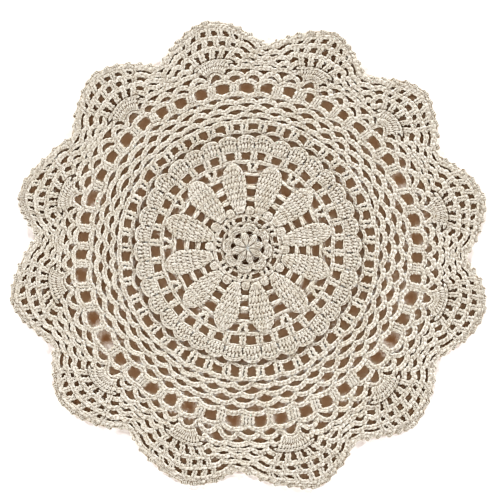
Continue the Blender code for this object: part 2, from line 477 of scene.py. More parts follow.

# %% [markdown]
# The thread is unbleached cotton, spun in two plies and left without gloss. Its fine loose fibres scatter
# the light, which gives the eye a dry, matt, slightly warm white: a high roughness, hardly any specular and a
# trace of sheen. The grooves between the plies are darkened with painted shade, dark specks stand for seed
# husk and for painted shade in the gaps between fibres, and a slow change of tone keeps it from looking like
# plastic. Low yarn is painted browner and darker: painted shade for light that gets deep between the strands
# and comes back brown.
# The plies are a sine over the yarn's map, and the rest is noise on the mat, so no image is needed. Plies,
# fibres and specks are drawn coarser than real ones, which would be finer than a pixel.

# %% The cotton thread
THREAD_PALE = "#BFB9AE"
THREAD_DEEP = "#AFA798"
BATCH_SIZE = 26.0  # slow change of shade over the mat
PLIES = 2
PLY_TWIST = 4.4  # millimetres along the yarn for a ply to go once round
PLY_DEPTH = 0.13
# painted shade: the grooves between the plies are darkened with this brown
GROOVE_SHADE = "#6E5A40"
GROOVE_WIDTH = 0.6  # share of a ply
GROOVE_SHARE = 0.42
FIBRE_SIZE = 0.35
FIBRE_DEPTH = 0.05
FLECK_HUSK_AND_SHADE = "#6B5232"  # dark specks: seed husk, and painted shade of the gaps between fibres
FLECK_SIZE = 0.8
FLECK_FROM, FLECK_FULL = 0.6, 0.68  # the noise's level at a speck's edge and inside it
FLECK_SHARE = 0.65
LOW_SHADE = "#8A6C46"  # painted shade: yarn low between other yarn is browner and darker
LOW_SHADE_LEVELS = (0.5, 2.1)  # millimetres above the table, from the brownest to none
LOW_SHADE_SHARE = 0.68


def cotton_thread():
    material = bpy.data.materials.new("unbleached_cotton_thread")
    material.use_nodes = True
    tree = material.node_tree
    on_mat = node(tree, "ShaderNodeTexCoord").outputs["Object"]

    def noise_of(size, detail):
        settings = {"Vector": on_mat, "Scale": 1 / (size * MM), "Detail": detail}
        return node(tree, "ShaderNodeTexNoise", settings).outputs[0]

    def ramp(value, low, high, at_low, at_high):
        settings = {"Value": value, "From Min": low, "From Max": high, "To Min": at_low, "To Max": at_high}
        return node(tree, "ShaderNodeMapRange", settings).outputs[0]

    def blend(share, under, over):
        settings = {"Factor": share, "A": under, "B": over}
        return output(node(tree, "ShaderNodeMix", settings, data_type="RGBA"), "Result")

    on_yarn = node(tree, "ShaderNodeUVMap", uv_map="yarn").outputs["UV"]
    yarn = node(tree, "ShaderNodeSeparateXYZ", {"Vector": on_yarn}).outputs
    along = maths(tree, "MULTIPLY_ADD", yarn["X"], 1 / PLY_TWIST, yarn["Y"])
    ply = maths(tree, "ABSOLUTE", maths(tree, "SINE", maths(tree, "MULTIPLY", along, PLIES * math.pi)))

    tint = node(tree, "ShaderNodeAttribute", attribute_name="tint").outputs["Fac"]
    shade = maths(tree, "MULTIPLY", tint, noise_of(BATCH_SIZE, 2.0))
    colour = blend(shade, linear(THREAD_PALE), linear(THREAD_DEEP))
    # painted shade darkens the grooves between the plies
    colour = blend(ramp(ply, 0.0, GROOVE_WIDTH, GROOVE_SHARE, 0.0), colour, linear(GROOVE_SHADE))
    # dark specks: partly seed husk, partly painted shade of the gaps between fibres and loops
    is_husk_and_shade_fleck = ramp(noise_of(FLECK_SIZE, 1.0), FLECK_FROM, FLECK_FULL, 0.0, FLECK_SHARE)
    colour = blend(is_husk_and_shade_fleck, colour, linear(FLECK_HUSK_AND_SHADE))
    # painted shade: yarn nearer the table is browner and darker, as light deep between the strands comes back
    # brown
    level = node(tree, "ShaderNodeSeparateXYZ", {"Vector": on_mat}).outputs["Z"]
    is_painted_low_shade = ramp(level, LOW_SHADE_LEVELS[0] * MM, LOW_SHADE_LEVELS[1] * MM, LOW_SHADE_SHARE, 0.0)
    colour = blend(is_painted_low_shade, colour, linear(LOW_SHADE))

    plies = node(tree, "ShaderNodeBump", {"Height": ply, "Strength": 1.0, "Distance": PLY_DEPTH * MM})
    fibres = node(
        tree, "ShaderNodeBump",
        {
            "Height": noise_of(FIBRE_SIZE, 3.0), "Normal": plies.outputs[0],
            "Strength": 0.4, "Distance": FIBRE_DEPTH * MM,
        },
    )
    shader = tree.nodes["Principled BSDF"]
    tree.links.new(colour, shader.inputs["Base Color"])
    tree.links.new(fibres.outputs[0], shader.inputs["Normal"])
    finish = {
        "Roughness": 0.92, "IOR": 1.5, "Specular IOR Level": 0.1, "Sheen Weight": 0.03, "Sheen Roughness": 0.5,
    }
    for name, value in finish.items():
        shader.inputs[name].default_value = value
    return material


thread_material = cotton_thread()
print("thread:", THREAD_PALE, "to", THREAD_DEEP)

# %% [markdown]
# ## Laying the yarn with Geometry Nodes
#
# The chart of a piece is two plain meshes. One holds lines: each is the path of a chain. The other holds
# loose points: each is the foot of a taller stitch, with its reach, its girth and its kind as attributes.
# Thousands of copied objects could do the same, but a node tree does it in one step and gives one mesh.
# Every stitch gets a small roll, a small change of size and a tint of its own, since no two are quite alike.

# %% Helpers for the node tree


def chosen(tree, given, low, high, seed_step):
    """A random value for each stitch."""
    seed = maths(tree, "ADD", given["Seed"], float(seed_step))
    settings = {"Min": low, "Max": high, "Seed": seed}
    return output(node(tree, "FunctionNodeRandomValue", settings, data_type="FLOAT"), "Value")


def facing(tree, direction, roll):
    """A rotation with X along the direction, Z up, and then a roll about X."""
    level = node(
        tree, "FunctionNodeAxesToRotation",
        {"Primary Axis": direction, "Secondary Axis": (0.0, 0.0, 1.0)},
        primary_axis="X", secondary_axis="Z",
    )
    about_x = node(tree, "ShaderNodeCombineXYZ", {"X": roll})
    turn = node(tree, "FunctionNodeEulerToRotation", {"Euler": about_x.outputs[0]})
    turned = node(
        tree, "FunctionNodeRotateRotation",
        {"Rotation": level.outputs[0], "Rotate By": turn.outputs[0]},
        rotation_space="LOCAL",
    )
    return turned.outputs[0]


def flat_scale(tree, along, girth):
    """Stitches of more than the usual girth get wider and not taller."""
    up = maths(tree, "MINIMUM", girth, 1.0)
    return node(tree, "ShaderNodeCombineXYZ", {"X": along, "Y": girth, "Z": up}).outputs[0]


def attribute(tree, name, kind):
    return output(node(tree, "GeometryNodeInputNamedAttribute", {"Name": name}, data_type=kind), "Attribute")


LINK_ROLL = 0.35  # radians to either side
LINK_GIRTHS = (0.93, 1.08)
STITCH_GIRTHS = (0.94, 1.07)
print("chain stitches roll by up to", round(math.degrees(LINK_ROLL)), "degrees")

# %% [markdown]
# The tree turns the lines into curves and lays a chain stitch at every step, then stands the taller stitches
# on their feet, and makes real geometry of both.

# %% Build the node tree
def crochet_tree():
    tree = bpy.data.node_groups.new("crochet", "GeometryNodeTree")
    face = tree.interface
    face.new_socket("Geometry", in_out="INPUT", socket_type="NodeSocketGeometry")
    for name, kind, default in (
        ("Stitches", "NodeSocketObject", None),
        ("Chain Stitch", "NodeSocketObject", None),
        ("Stitch Shapes", "NodeSocketCollection", None),
        ("Spacing", "NodeSocketFloat", LINK_SPACING * MM),
        ("Roll", "NodeSocketFloat", LINK_ROLL),
        ("Seed", "NodeSocketInt", 0),
        ("Thread", "NodeSocketMaterial", None),
    ):
        socket = face.new_socket(name, in_out="INPUT", socket_type=kind)
        if default is not None:
            socket.default_value = default
    face.new_socket("Geometry", in_out="OUTPUT", socket_type="NodeSocketGeometry")
    given = node(tree, "NodeGroupInput").outputs

    paths = node(tree, "GeometryNodeMeshToCurve", {"Mesh": given["Geometry"]})
    steps = node(
        tree, "GeometryNodeCurveToPoints",
        {"Curve": paths.outputs[0], "Length": given["Spacing"]}, mode="LENGTH",
    ).outputs
    loop = node(tree, "GeometryNodeObjectInfo", {"Object": given["Chain Stitch"], "As Instance": True})
    less_roll = maths(tree, "MULTIPLY", given["Roll"], -1.0)
    roll = chosen(tree, given, less_roll, given["Roll"], 1)
    size = chosen(tree, given, *LINK_GIRTHS, 2)
    girth = maths(tree, "MULTIPLY", attribute(tree, "girth", "FLOAT"), size)
    links = node(
        tree, "GeometryNodeInstanceOnPoints",
        {
            "Points": steps["Points"], "Instance": loop.outputs["Geometry"],
            "Rotation": facing(tree, steps["Tangent"], roll), "Scale": flat_scale(tree, 1.0, girth),
        },
    )

    feet = node(tree, "GeometryNodeObjectInfo", {"Object": given["Stitches"]})
    kinds = node(
        tree, "GeometryNodeCollectionInfo",
        {"Collection": given["Stitch Shapes"], "Separate Children": True, "Reset Children": True},
    )
    reach = attribute(tree, "reach", "FLOAT_VECTOR")
    length = output(node(tree, "ShaderNodeVectorMath", {0: reach}, operation="LENGTH"), "Value")
    stretch = maths(tree, "DIVIDE", length, REACH * MM)
    size = chosen(tree, given, *STITCH_GIRTHS, 3)
    girth = maths(tree, "MULTIPLY", attribute(tree, "girth", "FLOAT"), size)
    stitches = node(
        tree, "GeometryNodeInstanceOnPoints",
        {
            "Points": feet.outputs["Geometry"], "Instance": kinds.outputs[0],
            "Pick Instance": True, "Instance Index": attribute(tree, "kind", "INT"),
            "Rotation": facing(tree, reach, attribute(tree, "roll", "FLOAT")),
            "Scale": flat_scale(tree, stretch, girth),
        },
    )

    both = node(tree, "GeometryNodeJoinGeometry")
    tree.links.new(stitches.outputs[0], both.inputs[0])
    tree.links.new(links.outputs[0], both.inputs[0])
    tinted = node(
        tree, "GeometryNodeStoreNamedAttribute",
        {"Geometry": both.outputs[0], "Name": "tint", "Value": chosen(tree, given, 0.0, 1.0, 5)},
        data_type="FLOAT", domain="INSTANCE",
    )
    real = node(tree, "GeometryNodeRealizeInstances", {"Geometry": tinted.outputs[0]})
    rounded = node(tree, "GeometryNodeSetShadeSmooth", {"Geometry": real.outputs[0]})
    dyed = node(tree, "GeometryNodeSetMaterial", {"Geometry": rounded.outputs[0], "Material": given["Thread"]})
    node(tree, "NodeGroupOutput", {"Geometry": dyed.outputs[0]})
    return tree


crochet = crochet_tree()
print("crochet tree:", len(crochet.nodes), "nodes")

# %% [markdown]
# A piece collects its chains and stitches in millimetres, and is worked once they are all there. The result
# is a plain mesh: the modifier and the two charts are gone.

# %% Collect a piece's chart and work it
PIECES = []
STEADY_ROLL = 0.12  # radians that a stitch may turn about its own axis
ROLLS = {"close": 0.3, "short": 0.3}


def jitter(size):
    return chance.uniform(-size, size)


class Piece:
    def __init__(self, name):
        self.name = name
        self.chains = []
        self.stitches = []

    def chain(self, points, closed=False, girth=1.0):
        self.chains.append((points, closed, girth))

    def stitch(self, kind, foot, head, girth=1.0):
        roll = jitter(ROLLS.get(kind, STEADY_ROLL))
        self.stitches.append((KIND_NUMBERS[kind], foot, head, girth, roll))

    def chains_mesh(self):
        places, edges, girths = [], [], []
        for points, closed, girth in self.chains:
            start = len(places)
            places += [point * MM for point in points]
            girths += [girth] * len(points)
            edges += [(index, index + 1) for index in range(start, len(places) - 1)]
            if closed:
                edges.append((len(places) - 1, start))
        mesh = bpy.data.meshes.new(self.name)
        mesh.from_pydata(places, edges, [])
        mesh.attributes.new("girth", "FLOAT", "POINT").data.foreach_set("value", girths)
        return mesh

    def stitches_mesh(self):
        kinds, feet, heads, girths, rolls = zip(*self.stitches)
        mesh = bpy.data.meshes.new(self.name + "_feet")
        mesh.from_pydata([foot * MM for foot in feet], [], [])
        mesh.attributes.new("kind", "INT", "POINT").data.foreach_set("value", kinds)
        mesh.attributes.new("girth", "FLOAT", "POINT").data.foreach_set("value", girths)
        mesh.attributes.new("roll", "FLOAT", "POINT").data.foreach_set("value", rolls)
        reaches = mesh.attributes.new("reach", "FLOAT_VECTOR", "POINT")
        for slot, foot, head in zip(reaches.data, feet, heads):
            slot.vector = (head - foot) * MM
        return mesh

    def work(self, seed):
        """Runs the tree and returns the finished piece, a plain mesh object at the origin."""
        host = bpy.data.objects.new(self.name, self.chains_mesh())
        feet = bpy.data.objects.new(self.name + "_feet", self.stitches_mesh())
        for made in (host, feet):
            bpy.context.scene.collection.objects.link(made)
        modifier = host.modifiers.new("crochet", "NODES")
        modifier.node_group = crochet
        values = {
            "Stitches": feet, "Chain Stitch": link, "Stitch Shapes": shapes, "Spacing": LINK_SPACING * MM,
            "Roll": LINK_ROLL, "Seed": seed, "Thread": thread_material,
        }
        for socket in crochet.interface.items_tree:
            if socket.in_out == "INPUT" and socket.name in values:
                modifier[socket.identifier] = values[socket.name]
        evaluated = host.evaluated_get(bpy.context.evaluated_depsgraph_get())
        worked = bpy.data.meshes.new_from_object(evaluated)
        host.modifiers.remove(modifier)
        host.data = worked
        worked.name = self.name
        bpy.data.objects.remove(feet)
        triangles = sum(len(polygon.vertices) - 2 for polygon in worked.polygons)
        print(f"{self.name}: {len(self.chains)} chains, {len(self.stitches)} stitches, {triangles} triangles")
        PIECES.append(host)
        return host


print("kinds of stitch:", ", ".join(KIND_NUMBERS))

# %% [markdown]
# ## Ways to work a round
#
# Three things are worked again and again: a run of chain or of stitch heads along a round, posts that stand
# between two rounds, and arches of chain. Arches could be worked one by one, but a round of them is one
# chain on the real mat too, with a short stitch at each joint that ties it to the round below. An arch is
# flat at its crown and steep at its sides. The next round's stitches stand on it wherever they come, so an
# arched round returns its own radius at any turn.

# %% Runs, posts and arches
RUN_STEP = 1.0  # millimetres from point to point of a chain's path
SINK = 0.2  # how far a foot sinks into the round below
TIE_RISE = 0.3  # how far a short stitch reaches over the arch that it ties
SHORTEST_STEM = 1.5  # arches on lower stems hang straight on the round below
CROWN_DRIFT = 0.35
LEAST_RISE = 0.8
STEEPNESS = 2.4
LAP_END = 0.001  # of a turn, by which a closed round ends early, because its start is its end


def run(piece, start, end, radius_at, height, closed=False, girth=1.0):
    """A chain along a round, from one turn to another. radius_at gives its radius at a turn."""
    length = abs(end - start) * math.tau * radius_at(start) / COUNT
    steps = max(3, round(length / RUN_STEP))
    points = []
    for step in range(steps if closed else steps + 1):
        turn = mix(start, end, step / steps)
        points.append(place(turn, radius_at(turn), height))
    piece.chain(points, closed, girth)


def round_chain(piece, radius, height, girth=1.0):
    run(piece, 0.0, float(COUNT), lambda turn: radius, height, closed=True, girth=girth)


def post(piece, foot_turn, foot_radius, head_turn, head_radius, girth=1.0, height=POST_HEIGHT, kind="treble"):
    foot = place(foot_turn, foot_radius, height)
    head = place(head_turn, head_radius, height)
    piece.stitch(kind, foot, head, girth)


def spanned(joints, crown_at, steepness=STEEPNESS):
    """The radius at any turn along a row of arches that hang between these joints."""
    spans = []
    for (turn, radius), (next_turn, next_radius) in zip(joints, joints[1:]):
        middle = (turn + next_turn) / 2
        lowest = mix(radius, next_radius, 0.5) + LEAST_RISE
        crown = max(crown_at(middle) + jitter(CROWN_DRIFT), lowest)
        spans.append((turn, next_turn, radius, next_radius, crown))

    def radius_at(turn):
        for start, end, first, last, crown in spans:
            if start <= turn <= end:
                share = (turn - start) / (end - start)
                level = mix(first, last, share)
                rise = crown - mix(first, last, 0.5)
                return level + rise * (1 - abs(2 * share - 1) ** steepness)
        raise ValueError(f"no arch at turn {turn}")

    return radius_at


def arches(piece, anchors, below, crown_at, stem=STEM, steepness=STEEPNESS, girth=1.0):
    """A closed round of arches on short stitches. Returns the round's radius at any turn."""
    joints = [(turn, below(turn) + stem) for turn in anchors]
    if stem > SHORTEST_STEM:
        for turn, radius in joints:
            post(piece, turn, radius - stem - SINK, turn, radius + TIE_RISE, 1.05, CHAIN_HEIGHT, "short")
    first_turn, first_radius = joints[0]
    joints.append((first_turn + COUNT, first_radius))
    line = spanned(joints, crown_at, steepness)
    run(piece, first_turn, first_turn + COUNT - LAP_END, line, CHAIN_HEIGHT, closed=True, girth=girth)
    return lambda turn: line((turn - first_turn) % COUNT + first_turn)


print("a round of chain through the tips is", round(math.tau * TIP_RADIUS), "mm long")

# %% [markdown]
# ## The rose
#
# In the middle lies a small raised rose: eight plump petals from one point, and round them a ring of eight
# lobes, each of three short braids, one inside the other. The petals hang on a ring of chain laid low, where
# the painted low shade makes it dark brown: it is painted shade in the eight holes at their tips. Eight petals
# don't divide into twelve sectors, so the rose is charted in degrees, and not in turns as the rest is.

# %% Work the rose
PETALS = 8
PETAL_DEG = 14.0
PETAL_FOOT = 0.4
PETAL_TIP = 9.4
UNDER_SHADE_RING = 9.8  # the chain that the petals hang on, laid low, where the painted low shade darkens it in the holes at their tips
ROSE_RING = 11.4
LOBE_DEG = -7.5
LOBE_EDGE = 14.8
LOBE_DIP = 2.1
LOBE_GAP = 1.0  # degrees between a braid's end and the edge of its lobe
LOBE_BRAIDS = ((0.0, 2.2), (1.7, 2.1), (3.4, 1.9))  # millimetres in from the edge, and height
LOBE_STEPS = 8


def polar(degrees, radius, height):
    angle = math.radians(degrees)
    return Vector((radius * math.cos(angle), radius * math.sin(angle), height))


def ring_of_chain(piece, radius, height, girth=1.0):
    steps = max(12, round(math.tau * radius / 1.5))
    piece.chain([polar(360 * step / steps, radius, height) for step in range(steps)], True, girth)


def lobe(piece, middle):
    """One lobe of the ring round the petals."""
    half = 180 / PETALS - LOBE_GAP
    for inset, height in LOBE_BRAIDS:
        braid = []
        for step in range(LOBE_STEPS + 1):
            share = 2 * step / LOBE_STEPS - 1
            radius = LOBE_EDGE - inset - LOBE_DIP * (1 - inset / 6) * abs(share) ** 2.4
            braid.append(polar(middle + share * half, radius, height))
        piece.chain(braid, girth=0.68)


rose = Piece("rose_and_leaves")
for number in range(PETALS):
    degrees = PETAL_DEG + 360 / PETALS * number + jitter(2.0)
    rose.stitch("petal", polar(degrees, PETAL_FOOT, 2.1), polar(degrees, PETAL_TIP + jitter(0.2), 2.0), 1.0)
    lobe(rose, LOBE_DEG + 360 / PETALS * number + jitter(2.0))
# laid low, so that the painted low shade makes it dark in the holes at the petal tips
ring_of_chain(rose, UNDER_SHADE_RING, 0.8, 0.6)
ring_of_chain(rose, ROSE_RING, 1.2, 0.7)
print("the rose has", len(rose.stitches), "petals and", len(rose.chains), "braids")

# %% [markdown]
# Round the rose stand 24 posts in threes, between two rings of chain, with a wider hole after every third.
# Twelve puffs follow, in the corners between the leaves to come.

# %% Work the posts and puffs round the rose
HOLE_RING = 16.0
POST_RING = 21.2
POST_PLACES = 32  # every fourth one stays empty
POST_DEG = 17.5
PUFF_FOOT = 20.8
PUFF_TIP = 26.4

ring_of_chain(rose, HOLE_RING, 1.4, 0.85)
for number in range(POST_PLACES):
    if number % 4:
        degrees = POST_DEG + 360 / POST_PLACES * number + jitter(1.2)
        head = degrees + jitter(2.0)
        foot_at, head_at = polar(degrees, HOLE_RING, 1.5), polar(head, POST_RING, 1.6)
        rose.stitch("treble", foot_at, head_at, 1.4 + jitter(0.2))
ring_of_chain(rose, POST_RING, 1.6, 1.1)
for sector in range(COUNT):
    turn = sector + 0.5 + jitter(0.02)
    rose.stitch("puff", place(turn, PUFF_FOOT, 1.5), place(turn, PUFF_TIP, 1.5), 1.06)
print("with posts and puffs it has", len(rose.stitches), "stitches")

# %% [markdown]
# ## The leaves
#
# Twelve leaves spread from the rose. A leaf is four rows of close stitches, each row wider than the one
# before and the last drawn in again, with a braid of stitch heads over its tip. The rows could be one stitch
# repeated on a leaf-shaped surface, but real rows gain a stitch at a time, and so do these. Short stitches
# laid across join each leaf to the next, and over them a V of two posts carries the round of chain that
# closes the ring.

# %% Work the leaves
LeafRow = namedtuple("LeafRow", "foot head foot_half head_half posts droop")
LEAF_ROWS = (
    LeafRow(22.8, 31.6, 2.2, 5.4, 5, 0.2),
    LeafRow(31.2, 39.0, 5.4, 6.5, 6, 0.2),
    LeafRow(38.6, 46.0, 6.5, 7.4, 7, 0.2),
    LeafRow(45.6, 53.4, 7.2, 5.0, 7, 2.6),
)
LEAF_HEIGHT = 2.0
LEAF_GIRTH = 1.28
POST_HALF = 0.9  # from a post's middle to its side
BAR_RADII = (31.9, 39.2, 47.2)
BAR_GIRTHS = (1.7, 1.75, 1.4)
BAR_OVERLAP = 0.6
V_HALF = 3.2
V_FOOT = 0.15  # its width at the foot, as a share of that at the head
LEAF_ROUND = 54.8


def leaf(piece, axis):
    for row in LEAF_ROWS:
        for number in range(row.posts):
            share = 2 * number / (row.posts - 1) - 1
            foot_turn = axis + turns(share * (row.foot_half - POST_HALF), row.foot)
            head_turn = axis + turns(share * (row.head_half - POST_HALF), row.head)
            height = LEAF_HEIGHT + jitter(0.15)
            head = row.head - row.droop * share * share
            post(piece, foot_turn, row.foot, head_turn, head, LEAF_GIRTH, height, "close")
    tip = LEAF_ROWS[-1]
    half = turns(tip.head_half - 0.4, tip.head)

    def leaf_tip(turn):
        return tip.head - tip.droop * ((turn - axis) / half) ** 2

    run(piece, axis - half, axis + half, leaf_tip, LEAF_HEIGHT, girth=0.75)


for sector in range(COUNT):
    leaf(rose, float(sector))
    gap = sector + 0.5
    for row, radius, girth in zip(LEAF_ROWS, BAR_RADII, BAR_GIRTHS):
        half = 0.5 - turns(row.head_half - BAR_OVERLAP, radius)
        post(rose, gap - half, radius, gap + half, radius, girth, kind="short")
    for side in (-1, 1):
        spread = side * turns(V_HALF, LEAF_ROUND)
        post(rose, gap + V_FOOT * spread, BAR_RADII[-1], gap + spread, LEAF_ROUND - 0.4, 1.45)
round_chain(rose, LEAF_ROUND, 1.6, 1.0)
rose.work(seed=1)

# %% [markdown]
# ## Square mesh and shells
#
# The next round is a square mesh: 36 pairs of posts with square holes between. A shell of five close
# stitches stands over each hole, fanned out at its top, and a lens of chain bridges each dip between two
# shells. Each shell is worked in the same loop as the hole below it, so the two always line up.

# %% Work the mesh and the shells
MESHES = 36
MESH_TOP = 62.3
PAIR_FOOT, PAIR_HEAD = 1.1, 1.15  # from the pair's middle to each post
SHELL_POSTS = 5
SHELL_TOP = 70.8
SHELL_DIP = 2.9
SHELL_FOOT_HALF = 3.6
SHELL_HEAD_HALF = 5.0
LENS_CROWN = 74.9

mesh_piece = Piece("mesh_and_shells")
for number in range(MESHES):
    hole = number * COUNT / MESHES
    middle = hole + 0.5 * COUNT / MESHES + jitter(0.012)
    for side in (-1, 1):
        foot = middle + side * turns(PAIR_FOOT, LEAF_ROUND)
        head = middle + side * turns(PAIR_HEAD, MESH_TOP)
        post(mesh_piece, foot, LEAF_ROUND + 0.4, head, MESH_TOP, 1.25)
    for step in range(SHELL_POSTS):
        share = 2 * step / (SHELL_POSTS - 1) - 1
        foot = hole + turns(share * SHELL_FOOT_HALF, MESH_TOP)
        head = hole + turns(share * SHELL_HEAD_HALF, SHELL_TOP)
        post(mesh_piece, foot, MESH_TOP + 0.3, head, SHELL_TOP - 1.6 * share * share, 1.12, RAISED, "close")
round_chain(mesh_piece, MESH_TOP, 1.8, 0.95)


def shell_edge(turn):
    share = 2 * abs(turn * MESHES / COUNT - round(turn * MESHES / COUNT))
    return SHELL_TOP + 0.2 - SHELL_DIP * share**3


run(mesh_piece, 0.0, float(COUNT), shell_edge, RAISED + 0.2, closed=True, girth=0.85)
lens_feet = [number * COUNT / MESHES for number in range(MESHES)]
lens_top = arches(
    mesh_piece, lens_feet, shell_edge, lambda turn: LENS_CROWN, stem=1.2, steepness=2.2, girth=0.9
)
mesh_piece.work(seed=3)

# %% [markdown]
# ## The net
#
# The net starts with a round of tall posts in pairs, joined by chain. Four rounds of arches follow, each on
# the crowns of the one before, so the holes fall into a hexagonal pattern. 45 arches make a round: the net
# doesn't keep to the twelve sectors. A woven grid would be simpler, but only real arches give this pattern.

# %% Work the net
ARCHES = 45
POST_TOP = 81.2
POST_ROUND_RISE = 0.9
NET_PAIR_FOOT, NET_PAIR_HEAD = 1.2, 1.8
NET_CROWNS = (86.8, 91.9, 96.9, 101.8)
NET_GIRTH = 1.3

net = Piece("net")
pitch = COUNT / ARCHES
for number in range(ARCHES):
    middle = number * pitch + jitter(0.02)
    for side in (-1, 1):
        foot = middle + side * turns(NET_PAIR_FOOT, LENS_CROWN)
        head = middle + side * turns(NET_PAIR_HEAD, POST_TOP)
        post(net, foot, lens_top(foot) + SINK, head, POST_TOP, 1.35)


def post_round(turn):
    share = 2 * abs(turn / pitch - round(turn / pitch))
    return POST_TOP + POST_ROUND_RISE * (1 - (1 - share) ** 2.2)


run(net, 0.0, float(COUNT), post_round, CHAIN_HEIGHT + 0.2, closed=True, girth=1.2)
net_top = post_round
for order, crown in enumerate(NET_CROWNS):
    first = pitch * (0.5 if order % 2 == 0 else 0.0)
    anchors = [first + number * pitch + jitter(0.02) for number in range(ARCHES)]
    net_top = arches(net, anchors, net_top, lambda turn: crown, girth=NET_GIRTH)
net_piece = net.work(seed=4)

# %% [markdown]
# ## The loops and the arches over them
#
# The net ends in 48 tall loops, which are the largest holes of the mat. Bunches of two to four posts carry
# them. A round of 60 low arches closes the loops, five to a sector, and the arch on each sector's axis is a
# little taller, because a fan will stand on it.

# %% Work the loops
LOOPS = 48
LOOP_SHOULDER = 108.2
LOOP_CROWN = 111.0
BUNCHES = (2, 3, 3, 4)  # posts, picked by chance
BUNCH_SPACING = 1.9
LOW_ARCHES = 5  # to a sector
LOW_CROWN = 116.2
FAN_SEAT = 118.0
SEAT_HALF = 0.05  # of a turn, to each side of the axis

loops = Piece("loops")
anchors = [(number + 0.3) * COUNT / LOOPS + jitter(0.02) for number in range(LOOPS)]
for anchor in anchors:
    posts = chance.choice(BUNCHES)
    for number in range(posts):
        turn = anchor + turns(BUNCH_SPACING * (number - (posts - 1) / 2), LOOP_CROWN)
        post(loops, turn, net_top(turn) + SINK, turn, LOOP_SHOULDER, 1.2)
loop_top = arches(loops, anchors, lambda turn: LOOP_SHOULDER, lambda turn: LOOP_CROWN, stem=0.0, girth=1.25)


def low_crown(turn):
    return FAN_SEAT if abs(turn - round(turn)) < SEAT_HALF else LOW_CROWN


low_feet = [(number + 0.5) / LOW_ARCHES for number in range(LOW_ARCHES * COUNT)]
low_top = arches(loops, low_feet, loop_top, low_crown, stem=1.6, girth=NET_GIRTH)
print(len(loops.stitches), "stitches carry the loops and the low arches")

# %% [markdown]
# ## The fans and the scallops
#
# Each fan is a shell of eleven close stitches on its low arch. Three more rounds stand on it, in columns of
# two posts with a hole between each pair, and each is wider than the one below. Beside the fans the net goes
# on: two rounds of low arches, and then one for each round of columns. The columns are tall and the arches
# beside them are low, and that is what makes the scallops. A round is one row of a table here, so that it
# can be read like a written crochet pattern.

# %% The rounds of a scallop
Round = namedtuple("Round", "tip valley columns seats side joints height")
FAN_SIDE = 0.158  # of a turn, from a fan's axis to its side
SIDE_ROUNDS = (
    Round(120.9, 120.2, (), (), 0.135, (0.2, 0.4, 0.6, 0.8), 1.6),
    Round(127.5, 122.8, (), (), FAN_SIDE, (0.25, 0.375, 0.5, 0.625, 0.75), 1.6),
)
COLUMN_ROUNDS = (
    Round(134.4, 126.0, (0.0, 0.105, 0.205), (0.0, 0.07, 0.14), 0.23, (0.3, 0.43, 0.57, 0.7), 1.8),
    Round(141.4, 129.6, (0.05, 0.15, 0.25), (0.052, 0.155, 0.225), 0.28, (0.37, 0.5, 0.63), 1.6),
    Round(148.2, 133.0, (0.0, 0.09, 0.18, 0.27), (0.0, 0.1, 0.2, 0.27), 0.31, (0.43, 0.57), 1.4),
)
COLUMN_GIRTH = 1.15
COLUMN_HALF = 1.0  # from a column's middle to each post
COLUMN_TAPER = 0.75  # how far apart the posts' feet stand, as a share of their heads
SIDE_GIRTH = 1.35
LOW_STEM = 2.4


def columns(piece, axis, this, line, below):
    """One round of a scallop: pairs of posts from the round below to this one, and the chain on top."""
    for off, seat in zip(this.columns, this.seats):
        for side in (-1, 1) if off else (1,):
            head = axis + side * off + jitter(0.006)
            foot = axis + side * seat + jitter(0.006)
            for strand in (-1, 1):
                lean = turns(strand * COLUMN_HALF, this.tip)
                foot_at = foot + COLUMN_TAPER * lean
                foot_radius, head_radius = below(foot_at) + 0.3, line(head) - 0.2
                post(piece, foot_at, foot_radius, head + lean, head_radius, COLUMN_GIRTH, this.height)
    run(piece, axis - this.side, axis + this.side, line, this.height, girth=SIDE_GIRTH)


def row_between(piece, sector, this, line, below):
    """Arches from one scallop to the next. Returns the row's radius at a turn between them."""
    ends = [sector + this.side, sector + 1 - this.side]
    feet = [sector + turn for turn in this.joints]
    joints = [(ends[0], line(ends[0])), *((turn, below(turn) + LOW_STEM) for turn in feet)]
    joints.append((ends[1], line(ends[1])))
    for turn, radius in joints[1:-1]:
        post(piece, turn, radius - LOW_STEM - SINK, turn, radius + 0.2, 0.9, CHAIN_HEIGHT, "short")
    row = spanned(joints, lambda turn: scallop(turn, this.tip, this.valley))
    run(piece, ends[0], ends[1], row, min(this.height, CHAIN_HEIGHT), girth=SIDE_GIRTH)
    return row


print("rounds from the low arches to the edge:", len(SIDE_ROUNDS) + len(COLUMN_ROUNDS))

# %% [markdown]
# The fans with their columns are one piece. The arches between them belong to the piece of the loops, which
# they go on from. Both are worked sector by sector, from the low arches outward.

# %% Work the fans, the columns and the arches between
FAN_POSTS = 11
FAN_FOOT_HALF = 4.9
FAN_HEAD_HALF = 9.5
FAN_TOP = 126.2
FAN_SHOULDER = 124.0
FAN_GIRTH = 1.05


def fan_edge(turn):
    """The curved top of a fan, lower at its sides."""
    off = abs(turn - round(turn)) / FAN_SIDE
    return mix(FAN_TOP, FAN_SHOULDER, min(off, 1.0) ** 2.2)


def fan(piece, axis):
    for number in range(FAN_POSTS):
        share = 2 * number / (FAN_POSTS - 1) - 1
        foot = axis + turns(share * FAN_FOOT_HALF, FAN_SEAT)
        head = axis + turns(share * FAN_HEAD_HALF, FAN_TOP)
        foot_radius = FAN_SEAT + 0.8 - 2.2 * share * share
        post(piece, foot, foot_radius, head, fan_edge(head) - 0.3, FAN_GIRTH, RAISED, "close")
    run(piece, axis - FAN_SIDE, axis + FAN_SIDE, fan_edge, RAISED + 0.3, girth=0.7)


